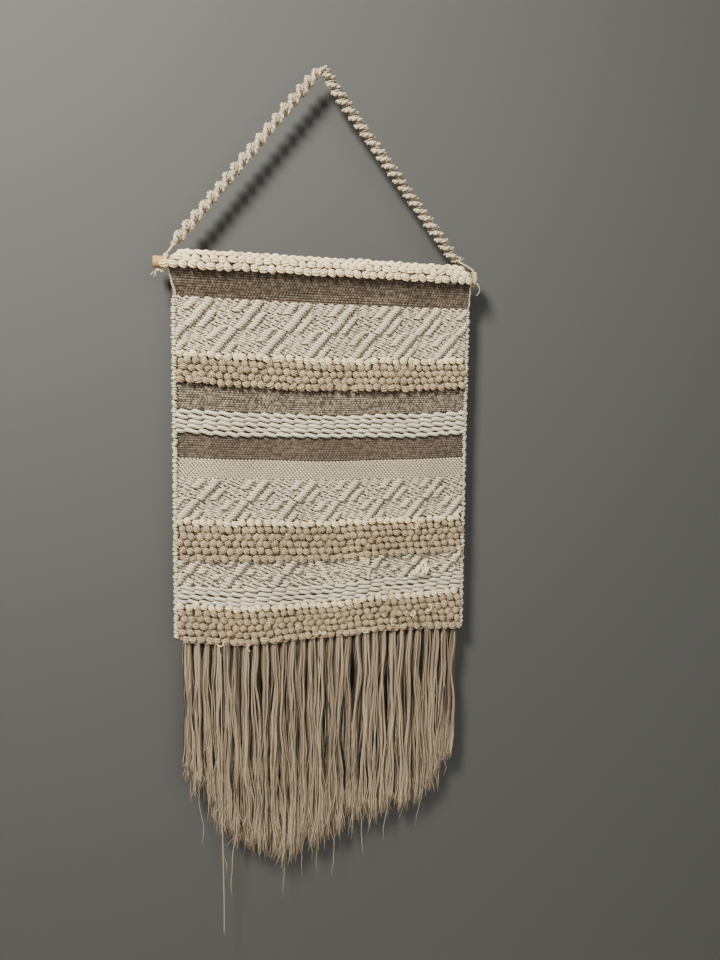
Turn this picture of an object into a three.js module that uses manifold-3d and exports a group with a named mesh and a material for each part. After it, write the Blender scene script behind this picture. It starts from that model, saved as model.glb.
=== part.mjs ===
// A banded woven wall hanging: a wooden rod in the pocket of a cloth, hung by a knotted cotton cord,
// with rows of loops, relief weaving and thick roving on the cloth and a long fringe along its foot.
// Millimetres, +Z up, +X to the right seen from the front, the wall on the +Y side.
// The origin is the middle of the hanger cord where it bends over its hook.
import * as THREE from 'three';
import { mergeVertices } from 'three/addons/utils/BufferGeometryUtils.js';
import Module from 'manifold-3d';

// fits
const gap = 0.3; // left between pieces that touch
const rodClearance = 0.4; // between the rod and the pocket or a tie
const tieToCloth = 0.5; // between a tie and the cloth's edge

// rod and hanger
const rodDrop = 254; // from the hook down to the rod's axis
const rodDiameter = 15;
const rodLeftOverhang = 20; // how far the rod stands out of the cloth's left edge
const rodRightOverhang = 8.5;
const sennitDiameter = 16; // the knotted hanger cord
const tieWidth = 7;
const tieThickness = 3.4;
const strandBundle = 7; // the cords between the end of the knots and a tie

// cloth
const clothWidth = 406;
const clothCentreX = 8; // the cloth hangs a little to the right of its hook
const clothThickness = 2.4;
const flatWeave = 1.6; // a flat band's height over the cloth
const twillWeave = 2.2;
const reliefWeave = 8;
const pileDepth = 13;
const rovingDepth = 8;
const selvedgeDiameter = 8;
const topPileHeight = 7.5; // the loops over the pocket
const topRowAngle = 40; // degrees round the pocket that one row of them covers
const topRowSpace = 2; // degrees between two rows

// heights of the bands, from the rod's axis down
const firstBandEnd = 40;
const reliefHeights = [73, 56.5, 33];
const pileHeights = [41, 54.5, 52];
const pileRows = [5, 6, 6];
const flatHeights = [33.5, 31];
const twillHeight = 27;
const rovingHeights = [31.5, 25];
const rovingRows = [5, 4];

// fringe
const fringeWidth = 392;
const fringeCentreX = 12;
const tasselCount = 30;
const tasselSpace = 0.8;
const tasselDepth = 9.3;
const neckDiameter = 4.4;
const fringeFromWall = 6;
const fringeDrop = 4; // from the cloth's foot to the line that the tassels swing about
const fringeOutline = [[0, 189], [0.06, 228], [0.17, 300], [0.37, 331], [0.6, 293], [0.86, 268], [1, 196]];
const looseStrandAt = 0.13; // share of the fringe's width
const looseStrandLength = 424;
const looseStrandDiameter = 2.4;

// the middle of the hanger cord, x and z from the left end over the hook to the right end
const hangerRoute = [
  [-191.5, -232.8], [-162, -195.8], [-137, -164.5], [-112, -133.1], [-87, -101.8], [-62, -70.5],
  [-37, -39.2], [-19, -16.9], [-9.5, -5.8], [-5, -1.7], [0, 0], [5, -2.8], [10, -10.5], [18, -22.2],
  [37, -46.2], [61, -75.1], [85, -104], [109, -132.9], [133, -161.8], [158, -191.8], [190.5, -231],
];

// worked out from the sizes above
const rodRadius = rodDiameter / 2;
const pocketRadius = rodRadius + rodClearance;
const wallY = pocketRadius + clothThickness; // the plane that the pocket and the cloth's back touch
const clothFrontY = wallY - clothThickness;
const bandBackY = clothFrontY - gap;
const clothLeft = clothCentreX - clothWidth / 2;
const clothRight = clothCentreX + clothWidth / 2;
const bandLeft = clothLeft + selvedgeDiameter + gap;
const bandRight = clothRight - selvedgeDiameter - gap;
const rodLeft = clothLeft - rodLeftOverhang;
const rodRight = clothRight + rodRightOverhang;
const [reliefA, reliefB, reliefC] = reliefHeights;
const [pileA, pileB, pileC] = pileHeights;
const [flatB, flatC] = flatHeights;
const [rovingA, rovingB] = rovingHeights;
const bandHeights = [reliefA, pileA, flatB, rovingA, flatC, twillHeight, reliefB, pileB, reliefC, rovingB, pileC];
const clothDrop = bandHeights.reduce((sum, height) => sum + height, firstBandEnd);
const clothFoot = -rodDrop - clothDrop;

const wasm = await Module();
wasm.setup();

function finish(color, roughness) {
  return new THREE.MeshStandardMaterial({ color, roughness, metalness: 0 });
}

const creamCotton = finish(0xd3cab6, 0.95);
const whiteRoving = finish(0xe2dccb, 0.95);
const beigeLoops = finish(0xc3b59b, 0.95);
const taupeWool = finish(0x75675a, 0.98);
const ecruCloth = finish(0xb9ad98, 0.97);
const fringeCotton = finish(0xb5a68f, 0.95);
const paleWood = finish(0xc29a6d, 0.6);

const hanging = new THREE.Group();

function place(name, geometry, material) {
  const mesh = new THREE.Mesh(geometry, material);
  mesh.name = name;
  hanging.add(mesh);
  return mesh;
}

function toSolid(geometry) {
  const plain = geometry.clone();
  plain.deleteAttribute('normal');
  plain.deleteAttribute('uv');
  const merged = mergeVertices(plain);
  const triVerts = new Uint32Array(merged.index.array);
  return new wasm.Manifold(new wasm.Mesh({ numProp: 3, vertProperties: merged.attributes.position.array, triVerts }));
}

function toGeometry(solid) {
  const { vertProperties, triVerts } = solid.getMesh();
  const geometry = new THREE.BufferGeometry();
  geometry.setAttribute('position', new THREE.BufferAttribute(new Float32Array(vertProperties), 3));
  geometry.setIndex(new THREE.BufferAttribute(new Uint32Array(triVerts), 1));
  return geometry;
}

// a section drawn in (y, z) and drawn out along X
function barAlongX(section, left, right, curveSegments = 12) {
  const bar = new THREE.ExtrudeGeometry(section, { depth: right - left, bevelEnabled: false, curveSegments });
  const alongX = new THREE.Matrix4().makeBasis(
    new THREE.Vector3(0, 1, 0),
    new THREE.Vector3(0, 0, 1),
    new THREE.Vector3(1, 0, 0),
  );
  bar.applyMatrix4(alongX);
  bar.translate(left, 0, 0);
  return bar;
}

function sectionOf(points) {
  return new THREE.Shape(points.map(([y, z]) => new THREE.Vector2(y, z)));
}

function tubeAlong(points, diameter, sides, steps) {
  const round = new THREE.Shape();
  round.absarc(0, 0, diameter / 2, 0, 2 * Math.PI);
  const extrudePath = new THREE.CatmullRomCurve3(points.map(([x, y, z]) => new THREE.Vector3(x, y, z)));
  return new THREE.ExtrudeGeometry(round, { steps, extrudePath, curveSegments: sides, bevelEnabled: false });
}

function ringAlongX(inner, outer, left, right) {
  const profile = [[inner, left], [outer, left], [outer, right], [inner, right], [inner, left]];
  const ring = new THREE.LatheGeometry(profile.map(([r, x]) => new THREE.Vector2(r, x)), 24);
  return ring.rotateZ(-Math.PI / 2);
}

function rod() {
  const cylinder = new THREE.CylinderGeometry(rodRadius, rodRadius, rodRight - rodLeft, 24);
  const mesh = place('dowel', cylinder.rotateZ(Math.PI / 2), paleWood);
  mesh.position.set((rodLeft + rodRight) / 2, 0, -rodDrop);
}

function hangerCord() {
  const route = hangerRoute.map(([x, z]) => [x, 0, z]);
  place('hanger_cord', tubeAlong(route, sennitDiameter, 8, 64), creamCotton);
}

// a tie round the rod, and the cords that lead from it over the pocket to the end of the knots
function tie(name, left, knotsEnd, towardsHook) {
  const middle = left + tieWidth / 2;
  const tieRadius = pocketRadius + tieThickness;
  const ring = ringAlongX(pocketRadius, tieRadius, left, left + tieWidth);
  ring.translate(0, 0, -rodDrop);
  const [endX, endZ] = knotsEnd;
  const overPocket = -rodDrop + wallY + strandBundle / 2 + 4 * gap;
  const strands = [
    [middle - towardsHook * tieWidth / 4, 0, -rodDrop + tieRadius],
    [middle + towardsHook * tieWidth / 2, 0, overPocket],
    [endX - towardsHook * 2 * gap, 0, endZ - 3 * gap],
  ];
  const tail = tubeAlong(strands, strandBundle, 8, 8);
  const kept = toSolid(tail).subtract(toSolid(knotsEndBlock(knotsEnd, towardsHook)));
  place(name, toGeometry(toSolid(ring).add(kept)), creamCotton);
}

// the space that the hanger cord's end holds, with the gap round it
function knotsEndBlock([endX, endZ], towardsHook) {
  const next = towardsHook > 0 ? hangerRoute[1] : hangerRoute[hangerRoute.length - 2];
  const length = Math.hypot(next[0] - endX, next[1] - endZ);
  const stretch = gap / length;
  const start = [endX - (next[0] - endX) * stretch, 0, endZ - (next[1] - endZ) * stretch];
  return tubeAlong([start, [next[0], 0, next[1]]], sennitDiameter + 2 * gap, 8, 1);
}

function ties() {
  const leftTie = clothLeft - tieToCloth - tieWidth;
  const rightTie = clothRight + tieToCloth;
  tie('tie_left', leftTie, hangerRoute[0], 1);
  tie('tie_right', rightTie, hangerRoute[hangerRoute.length - 1], -1);
}

// the cloth's top is turned over the rod, so one section holds the pocket and the flat cloth
function groundCloth() {
  const joint = Math.acos(clothFrontY / wallY);
  const section = new THREE.Shape();
  section.moveTo(clothFrontY, -clothDrop);
  section.lineTo(wallY, -clothDrop);
  section.lineTo(wallY, 0);
  section.absarc(0, 0, wallY, 0, 2 * Math.PI - joint);
  section.closePath();
  const hole = new THREE.Path();
  hole.absarc(0, 0, pocketRadius, 0, 2 * Math.PI, true);
  section.holes.push(hole);
  const mesh = place('ground_cloth', barAlongX(section, clothLeft, clothRight, 24), ecruCloth);
  mesh.position.z = -rodDrop;
}

// a row of loops that covers part of the pocket's round, between the ends of the hanger's knots
function topLoopRow(number, lowAngle, left, right) {
  const inner = wallY + gap;
  const outer = inner + topPileHeight;
  const low = THREE.MathUtils.degToRad(180 - lowAngle);
  const high = THREE.MathUtils.degToRad(180 - lowAngle - topRowAngle);
  const section = new THREE.Shape();
  section.absarc(0, 0, outer, low, high, true);
  section.absarc(0, 0, inner, high, low);
  section.closePath();
  const mesh = place(`top_loop_row_${number}`, barAlongX(section, left, right, 8), beigeLoops);
  mesh.position.z = -rodDrop;
}

// where a line from a point below touches the front of a circle round the rod, as an angle below -Y
function touchAngle(radius, y, z) {
  const toPoint = Math.atan2(-z, -y);
  return toPoint - Math.acos(radius / Math.hypot(y, z));
}

// the first flat band leaves the front of the pocket and slopes back to the cloth
function slopingBand(touch) {
  const inner = wallY + gap;
  const outer = inner + flatWeave;
  const across = [-Math.cos(touch), -Math.sin(touch)];
  const section = sectionOf([
    [inner * across[0], inner * across[1]],
    [outer * across[0], outer * across[1]],
    [bandBackY - flatWeave, -firstBandEnd + gap],
    [bandBackY, -firstBandEnd + gap],
  ]);
  const mesh = place('taupe_band_1', barAlongX(section, bandLeft, bandRight), taupeWool);
  mesh.position.z = -rodDrop;
}

function topOfCloth() {
  const touch = touchAngle(wallY + gap, bandBackY, -firstBandEnd + gap);
  slopingBand(touch);
  const loopsLeft = hangerRoute[0][0] + sennitDiameter;
  const loopsRight = hangerRoute[hangerRoute.length - 1][0] - sennitDiameter;
  const lowest = topRowSpace - THREE.MathUtils.radToDeg(touch);
  for (let row = 0; row < 3; row++) {
    topLoopRow(3 - row, lowest + row * (topRowAngle + topRowSpace), loopsLeft, loopsRight);
  }
}

// a band with softened front edges; drop is its upper edge, measured down from the rod's axis
function flatBand(name, drop, height, depth, material) {
  const soft = depth / 4;
  const top = -drop;
  const foot = gap - drop - height;
  const front = bandBackY - depth;
  const section = sectionOf([
    [bandBackY, top],
    [front + soft, top],
    [front, top - soft],
    [front, foot + soft],
    [front + soft, foot],
    [bandBackY, foot],
  ]);
  place(name, barAlongX(section, bandLeft, bandRight), material).position.z = -rodDrop;
}

// rows of loops one under the other, each a rounded swelling
function pileBand(name, drop, height, rows) {
  const pitch = (height - gap) / rows;
  const base = bandBackY - pileDepth + pitch / 2;
  const section = new THREE.Shape();
  section.moveTo(bandBackY, -drop);
  for (let row = 0; row < rows; row++) {
    section.absarc(base, -drop - (row + 0.5) * pitch, pitch / 2, Math.PI / 2, 1.5 * Math.PI);
  }
  section.lineTo(bandBackY, -drop - height + gap);
  section.closePath();
  place(name, barAlongX(section, bandLeft, bandRight, 6), beigeLoops).position.z = -rodDrop;
}

// thick roving laid across the cloth, one node for each row
function rovingBand(number, drop, height, rows) {
  const pitch = height / rows;
  const thickness = pitch - gap;
  const straight = bandBackY - rovingDepth + thickness / 2;
  for (let row = 0; row < rows; row++) {
    const section = new THREE.Shape();
    section.moveTo(bandBackY, -drop - row * pitch);
    section.absarc(straight, -drop - row * pitch - thickness / 2, thickness / 2, Math.PI / 2, 1.5 * Math.PI);
    section.lineTo(bandBackY, -drop - row * pitch - thickness);
    section.closePath();
    const bar = barAlongX(section, bandLeft, bandRight, 8);
    place(`roving_${number}_row_${row + 1}`, bar, whiteRoving).position.z = -rodDrop;
  }
}

function bands() {
  let drop = firstBandEnd;
  const stack = (height, build) => {
    build(drop, height);
    drop += height;
  };
  stack(reliefA, (at, height) => flatBand('relief_band_1', at, height, reliefWeave, whiteRoving));
  stack(pileA, (at, height) => pileBand('loop_band_1', at, height, pileRows[0]));
  stack(flatB, (at, height) => flatBand('taupe_band_2', at, height, flatWeave, taupeWool));
  stack(rovingA, (at, height) => rovingBand(1, at, height, rovingRows[0]));
  stack(flatC, (at, height) => flatBand('taupe_band_3', at, height, flatWeave, taupeWool));
  stack(twillHeight, (at, height) => flatBand('twill_band', at, height, twillWeave, whiteRoving));
  stack(reliefB, (at, height) => flatBand('relief_band_2', at, height, reliefWeave, whiteRoving));
  stack(pileB, (at, height) => pileBand('loop_band_2', at, height, pileRows[1]));
  stack(reliefC, (at, height) => flatBand('relief_band_3', at, height, reliefWeave, whiteRoving));
  stack(rovingB, (at, height) => rovingBand(2, at, height, rovingRows[1]));
  stack(pileC, (at, height) => pileBand('loop_band_3', at, height, pileRows[2]));
}

function selvedge(name, x) {
  const height = clothDrop - firstBandEnd;
  const radius = selvedgeDiameter / 2;
  const wrap = new THREE.CylinderGeometry(radius, radius, height, 12).rotateX(Math.PI / 2);
  const mesh = place(name, wrap, whiteRoving);
  mesh.position.set(x, bandBackY - radius, clothFoot + height / 2);
}

function selvedges() {
  selvedge('selvedge_left', clothLeft + selvedgeDiameter / 2);
  selvedge('selvedge_right', clothRight - selvedgeDiameter / 2);
}

function fringeLengthAt(share) {
  const next = Math.max(1, fringeOutline.findIndex(([at]) => at >= share));
  const [at0, length0] = fringeOutline[next - 1];
  const [at1, length1] = fringeOutline[next];
  return THREE.MathUtils.mapLinear(share, at0, at1, length0, length1);
}

// a bundle of warp ends: a thin neck at the cloth's foot, a knot, and the ends spreading below it
function tassel(number, x, length, width) {
  const half = width / 2;
  const neck = neckDiameter / 2;
  const profile = [
    [0, -length], [half * 0.8, -length], [half, -length * 0.8], [half * 0.9, -30], [half * 0.75, -18],
    [half * 0.9, -11], [half * 0.75, -7], [neck, -3], [neck, 0], [0, 0],
  ];
  const body = new THREE.LatheGeometry(profile.map(([r, z]) => new THREE.Vector2(r, z)), 10);
  body.rotateX(Math.PI / 2);
  body.scale(1, tasselDepth / width, 1);
  const mesh = place(`tassel_${String(number).padStart(2, '0')}`, body, fringeCotton);
  mesh.position.set(x, wallY - fringeFromWall, clothFoot - fringeDrop);
}

function looseStrand(left) {
  const radius = looseStrandDiameter / 2;
  const x = left + looseStrandAt * fringeWidth;
  const y = wallY - fringeFromWall - tasselDepth / 2 - gap - radius;
  const top = clothFoot - 16;
  const foot = clothFoot - looseStrandLength;
  const sway = [0, 2, 3, 1, -3, -4];
  const route = sway.map((dx, i) => [x + dx, y, THREE.MathUtils.lerp(top, foot, i / (sway.length - 1))]);
  place('loose_strand', tubeAlong(route, looseStrandDiameter, 8, 20), fringeCotton);
}

function fringe() {
  const pitch = fringeWidth / tasselCount;
  const left = fringeCentreX - fringeWidth / 2;
  for (let i = 0; i < tasselCount; i++) {
    const share = (i + 0.5) / tasselCount;
    const length = fringeLengthAt(share) - fringeDrop;
    tassel(i + 1, left + (i + 0.5) * pitch, length, pitch - tasselSpace);
  }
  looseStrand(left);
}

rod();
hangerCord();
ties();
groundCloth();
topOfCloth();
bands();
selvedges();
fringe();

export default hanging;
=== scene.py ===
import math
import bpy
import numpy as np
from mathutils import Matrix, Vector


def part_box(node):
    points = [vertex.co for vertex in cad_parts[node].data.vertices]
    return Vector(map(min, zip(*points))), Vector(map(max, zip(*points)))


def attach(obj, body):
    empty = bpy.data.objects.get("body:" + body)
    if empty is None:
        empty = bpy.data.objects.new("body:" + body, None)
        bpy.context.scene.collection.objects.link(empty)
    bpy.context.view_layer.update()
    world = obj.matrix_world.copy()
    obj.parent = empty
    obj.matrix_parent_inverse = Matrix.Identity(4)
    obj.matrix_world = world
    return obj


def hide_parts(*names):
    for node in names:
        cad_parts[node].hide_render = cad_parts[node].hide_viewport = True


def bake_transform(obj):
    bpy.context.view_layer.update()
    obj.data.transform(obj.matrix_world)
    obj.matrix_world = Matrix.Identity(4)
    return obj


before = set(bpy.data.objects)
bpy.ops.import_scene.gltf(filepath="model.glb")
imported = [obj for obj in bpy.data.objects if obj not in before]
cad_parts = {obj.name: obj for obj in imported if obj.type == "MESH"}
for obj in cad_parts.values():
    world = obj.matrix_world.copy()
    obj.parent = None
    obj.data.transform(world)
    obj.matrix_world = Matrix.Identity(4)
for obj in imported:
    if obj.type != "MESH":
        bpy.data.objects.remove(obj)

# Everything is worked out in millimetres and written to the meshes in metres.
mm = 0.001
fullTurn = 6.3
alongX, alongY, alongZ = np.eye(3)
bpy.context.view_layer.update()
dice = np.random.default_rng(41)


def boxOf(node):
    low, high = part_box(node)
    return np.array(low) / mm, np.array(high) / mm


rodLow, rodHigh = boxOf("dowel")
clothLow, clothHigh = boxOf("ground_cloth")
rodZ = (rodLow[2] + rodHigh[2]) / 2
rodRadius = (rodHigh[2] - rodLow[2]) / 2
wallY = clothHigh[1]
clothLeft, clothRight = clothLow[0], clothHigh[0]
clothFoot = clothLow[2]
bandBack = boxOf("relief_band_1")[1][1]
clothWidth = clothRight - clothLeft

# the camera


def addCamera():
    look = {"stand": (-0.176, -0.97, -0.433), "down": 5.81, "right": 13.11, "lens": 27.08, "lean": -0.8}
    down, right = math.radians(look["down"]), math.radians(look["right"])
    ahead = Vector((math.sin(right) * math.cos(down), math.cos(right) * math.cos(down), -math.sin(down)))
    side = Vector((math.cos(right), -math.sin(right), 0))
    up = side.cross(ahead)
    turn = Matrix((side, up, -ahead)).transposed().to_4x4()
    turn.translation = look["stand"]
    camera = bpy.data.objects.new("camera", bpy.data.cameras.new("camera"))
    camera.data.lens = look["lens"]
    camera.data.clip_start = 0.01
    camera.matrix_world = Matrix.Rotation(math.radians(look["lean"]), 4, "Y") @ turn
    bpy.context.collection.objects.link(camera)
    bpy.context.scene.camera = camera


addCamera()
print("camera placed")

# shader groups


def nodeMaker(tree):
    def make(kind, inputs=None, **settings):
        node = tree.nodes.new(kind)
        for name, value in settings.items():
            setattr(node, name, value)
        for key, value in (inputs or {}).items():
            if isinstance(value, bpy.types.NodeSocket):
                tree.links.new(value, node.inputs[key])
            else:
                node.inputs[key].default_value = value
        return node
    return make


def compute(make, operation, *values):
    return make("ShaderNodeMath", dict(enumerate(values)), operation=operation).outputs[0]


def remap(make, value, fromLow, fromHigh, toLow=0.0, toHigh=1.0):
    ends = {0: value, 1: fromLow, 2: fromHigh, 3: toLow, 4: toHigh}
    return make("ShaderNodeMapRange", ends).outputs[0]


def noise(make, vector, **inputs):
    return make("ShaderNodeTexNoise", {"Vector": vector, **inputs}).outputs["Fac"]


def blendColors(make, share, first, second):
    mix = make("ShaderNodeMix", {"Factor": share, "A": first, "B": second}, data_type="RGBA")
    return mix.outputs["Result"]


def newGroup(name, inputs, outputs):
    tree = bpy.data.node_groups.new(name, "ShaderNodeTree")
    for label, value in inputs.items():
        kind = "NodeSocketColor" if isinstance(value, tuple) else "NodeSocketFloat"
        tree.interface.new_socket(label, in_out="INPUT", socket_type=kind).default_value = value
    for label, kind in outputs.items():
        tree.interface.new_socket(label, in_out="OUTPUT", socket_type=kind)
    return tree, tree.nodes.new("NodeGroupInput").outputs, tree.nodes.new("NodeGroupOutput").inputs


# twisted plies along a yarn: the yarn attribute holds (metres along, cosine, sine round the yarn)
def plyTwistGroup():
    tree, given, out = newGroup("plyTwist", {"Plies": 3.0, "Lay": 0.009, "Fibre": 0.3},
                                {"Height": "NodeSocketFloat", "Crease": "NodeSocketFloat"})
    make = nodeMaker(tree)
    yarn = make("ShaderNodeAttribute", attribute_name="yarn")
    along, cosine, sine = make("ShaderNodeSeparateXYZ", {0: yarn.outputs["Vector"]}).outputs
    angle = compute(make, "ARCTAN2", sine, cosine)
    turns = compute(make, "DIVIDE", along, given["Lay"])
    swing = compute(make, "MULTIPLY_ADD", turns, 2 * math.pi, angle)
    phase = compute(make, "MULTIPLY", swing, compute(make, "MULTIPLY", given["Plies"], 0.5))
    ply = compute(make, "ABSOLUTE", compute(make, "COSINE", phase))
    place = make("ShaderNodeTexCoord").outputs["Object"]
    fine = compute(make, "MULTIPLY", noise(make, place, Scale=2600.0, Detail=3.0), given["Fibre"])
    tree.links.new(compute(make, "ADD", ply, fine), out["Height"])
    # this mask only darkens the grooves between the plies towards the deep colour: painted shade
    tree.links.new(remap(make, ply, 0.0, 0.55, 1.0, 0.0), out["Crease"])
    return tree


# dye and spinning differences, and painted shade: each strand has its own tone, with slubs and flecks over
# it, and the per-strand attribute also carries painted shade; the crease input darkens grooves and holes as
# painted shade
def yarnToneAndShadeGroup():
    tree, given, out = newGroup(
        "yarnTone",
        {"Base": (0.7, 0.65, 0.55, 1), "Deep": (0.4, 0.33, 0.25, 1), "Strand Spread": 0.3,
         "Fleck Scale": 700.0, "Fleck Amount": 0.2, "Crease": 0.0},
        {"Color": "NodeSocketColor"})
    make = nodeMaker(tree)
    tint = make("ShaderNodeAttribute", attribute_name="tint").outputs["Fac"]
    strand = compute(make, "MULTIPLY", tint, given["Strand Spread"])
    place = make("ShaderNodeTexCoord").outputs["Object"]
    speckle = noise(make, place, Scale=given["Fleck Scale"], Detail=4.0, Roughness=0.65)
    spots = remap(make, speckle, 0.45, 0.72)
    flecks = compute(make, "MULTIPLY", spots, given["Fleck Amount"])
    clouds = remap(make, noise(make, place, Scale=14.0, Detail=2.0), 0.35, 0.7, 0.0, 0.16)
    tones = compute(make, "ADD", compute(make, "ADD", strand, flecks), clouds)
    gaps = {0: given["Crease"], 1: 0.45, 2: tones}
    dark = make("ShaderNodeMath", gaps, operation="MULTIPLY_ADD", use_clamp=True)
    tree.links.new(blendColors(make, dark.outputs[0], given["Base"], given["Deep"]), out["Color"])
    return tree


# a fine weave seen on a flat stretch: rows across, warps down, and a lean for twill
def fineWeaveGroup():
    tree, given, out = newGroup("fineWeave", {"Row Pitch": 0.0018, "Warp Pitch": 0.0022, "Lean": 0.5},
                                {"Height": "NodeSocketFloat", "Holes": "NodeSocketFloat"})
    make = nodeMaker(tree)
    place = make("ShaderNodeTexCoord").outputs["Object"]
    across, _, height = make("ShaderNodeSeparateXYZ", {0: place}).outputs
    rows = compute(make, "DIVIDE", height, given["Row Pitch"])
    warps = compute(make, "DIVIDE", across, given["Warp Pitch"])
    leaning = compute(make, "MULTIPLY_ADD", compute(make, "FLOOR", rows), given["Lean"], warps)
    rowWave, warpWave = (
        compute(make, "ABSOLUTE", compute(make, "SINE", compute(make, "MULTIPLY", turn, math.pi)))
        for turn in (rows, leaning))
    both = compute(make, "MULTIPLY", rowWave, warpWave)
    fuzz = noise(make, place, Scale=1500.0, Detail=3.0)
    tree.links.new(compute(make, "MULTIPLY_ADD", fuzz, 0.35, both), out["Height"])
    # this mask only darkens the dips between rows and warps towards the deep colour: painted shade
    tree.links.new(remap(make, both, 0.1, 0.5, 1.0, 0.0), out["Holes"])
    return tree


plyTwist = plyTwistGroup()
yarnTone = yarnToneAndShadeGroup()
fineWeave = fineWeaveGroup()

# materials


def startMaterial(name, roughness, sheen, specular):
    material = bpy.data.materials.new(name)
    material.use_nodes = True
    tree = material.node_tree
    shader = tree.nodes["Principled BSDF"]
    shader.inputs["Roughness"].default_value = roughness
    shader.inputs["Sheen Weight"].default_value = sheen
    shader.inputs["Sheen Roughness"].default_value = 0.5
    shader.inputs["Specular IOR Level"].default_value = specular
    return material, tree, shader, nodeMaker(tree)


def addBump(make, tree, shader, height, strength, distance):
    bump = make("ShaderNodeBump", {"Height": height, "Strength": strength, "Distance": distance})
    tree.links.new(bump.outputs["Normal"], shader.inputs["Normal"])


def addTone(make, tree, shader, finish, creaseShade):
    tone = make("ShaderNodeGroup", node_tree=yarnTone, inputs={
        "Base": (*finish["base"], 1), "Deep": (*finish["deep"], 1), "Strand Spread": finish["spread"],
        "Fleck Scale": finish["fleckScale"], "Fleck Amount": finish["flecks"], "Crease": creaseShade})
    tree.links.new(tone.outputs["Color"], shader.inputs["Base Color"])


def yarnMaterial(name, finish):
    material, tree, shader, make = startMaterial(name, 0.92, 0.08, 0.12)
    twist = make("ShaderNodeGroup", node_tree=plyTwist, inputs={
        "Plies": finish["plies"], "Lay": finish["lay"], "Fibre": finish["fibre"]})
    addTone(make, tree, shader, finish, twist.outputs["Crease"])
    addBump(make, tree, shader, twist.outputs["Height"], finish["bump"], finish["depth"])
    return material


def clothMaterial(name, finish):
    material, tree, shader, make = startMaterial(name, 0.96, 0.02, 0.04)
    weave = make("ShaderNodeGroup", node_tree=fineWeave, inputs={
        "Row Pitch": finish["rowPitch"], "Warp Pitch": finish["warpPitch"], "Lean": finish["lean"]})
    addTone(make, tree, shader, finish, weave.outputs["Holes"])
    addBump(make, tree, shader, weave.outputs["Height"], finish["bump"], finish["depth"])
    return material


creamCotton = yarnMaterial("creamCotton", {
    "base": (0.57, 0.485, 0.335), "deep": (0.06, 0.04, 0.02), "plies": 3.0, "lay": 0.010, "fibre": 0.35,
    "spread": 0.42, "fleckScale": 900.0, "flecks": 0.2, "bump": 0.9, "depth": 0.0006})
whiteRoving = yarnMaterial("whiteRoving", {
    "base": (0.56, 0.51, 0.385), "deep": (0.11, 0.08, 0.05), "plies": 6.0, "lay": 0.06, "fibre": 0.5,
    "spread": 0.10, "fleckScale": 500.0, "flecks": 0.12, "bump": 0.8, "depth": 0.0007})
offWhiteYarn = yarnMaterial("offWhiteYarn", {
    "base": (0.56, 0.495, 0.36), "deep": (0.10, 0.07, 0.04), "plies": 3.0, "lay": 0.008, "fibre": 0.5,
    "spread": 0.18, "fleckScale": 900.0, "flecks": 0.16, "bump": 0.8, "depth": 0.0005})
beigeLoopYarn = yarnMaterial("beigeLoopYarn", {
    "base": (0.46, 0.355, 0.22), "deep": (0.07, 0.045, 0.024), "plies": 3.0, "lay": 0.009, "fibre": 0.6,
    "spread": 0.34, "fleckScale": 800.0, "flecks": 0.18, "bump": 0.9, "depth": 0.0005})
creamLoopYarn = yarnMaterial("creamLoopYarn", {
    "base": (0.86, 0.73, 0.47), "deep": (0.20, 0.135, 0.065), "plies": 3.0, "lay": 0.009, "fibre": 0.6,
    "spread": 0.26, "fleckScale": 800.0, "flecks": 0.14, "bump": 0.9, "depth": 0.0005})
# the fringe's deep colour is near black: the end that its painted shade between and behind the strands mixes
# towards
fringeYarn = yarnMaterial("fringeYarn", {
    "base": (0.43, 0.335, 0.225), "deep": (0.016, 0.009, 0.005), "plies": 3.0, "lay": 0.005, "fibre": 0.4,
    "spread": 0.9, "fleckScale": 900.0, "flecks": 0.16, "bump": 0.7, "depth": 0.0003})
taupeFinish = {
    "base": (0.315, 0.26, 0.192), "deep": (0.045, 0.034, 0.025), "rowPitch": 0.0030, "warpPitch": 0.0039,
    "lean": 0.5, "spread": 0.7, "fleckScale": 270.0, "flecks": 0.5, "bump": 0.9, "depth": 0.0004}
taupeWeft = clothMaterial("taupeWeft", taupeFinish)
# the top band's taupe is a darker copy of the same finish: painted shade for its slope back under the loops
taupeWarm = clothMaterial("taupeWarm", {**taupeFinish, "base": (0.20, 0.158, 0.119)})
taupeDark = clothMaterial("taupeDark", {**taupeFinish, "base": (0.145, 0.115, 0.088)})
ecruCloth = clothMaterial("ecruCloth", {
    "base": (0.62, 0.55, 0.42), "deep": (0.14, 0.10, 0.07), "rowPitch": 0.0021, "warpPitch": 0.0026,
    "lean": 0.5, "spread": 0.8, "fleckScale": 420.0, "flecks": 0.2, "bump": 0.9, "depth": 0.0007})


# pale wood with long grain along the rod
def paleWoodMaterial():
    material, tree, shader, make = startMaterial("paleWood", 0.58, 0.0, 0.35)
    place = make("ShaderNodeTexCoord").outputs["Object"]
    stretched = make("ShaderNodeMapping", {"Vector": place, "Scale": (6.0, 90.0, 90.0)}).outputs[0]
    grain = remap(make, noise(make, stretched, Scale=3.0, Detail=5.0, Distortion=0.6), 0.35, 0.68)
    color = blendColors(make, grain, (0.46, 0.27, 0.11, 1), (0.24, 0.12, 0.045, 1))
    tree.links.new(color, shader.inputs["Base Color"])
    addBump(make, tree, shader, noise(make, stretched, Scale=22.0, Detail=2.0), 0.3, 0.0002)
    return material


paleWood = paleWoodMaterial()
print("materials made")

# mesh building


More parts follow.
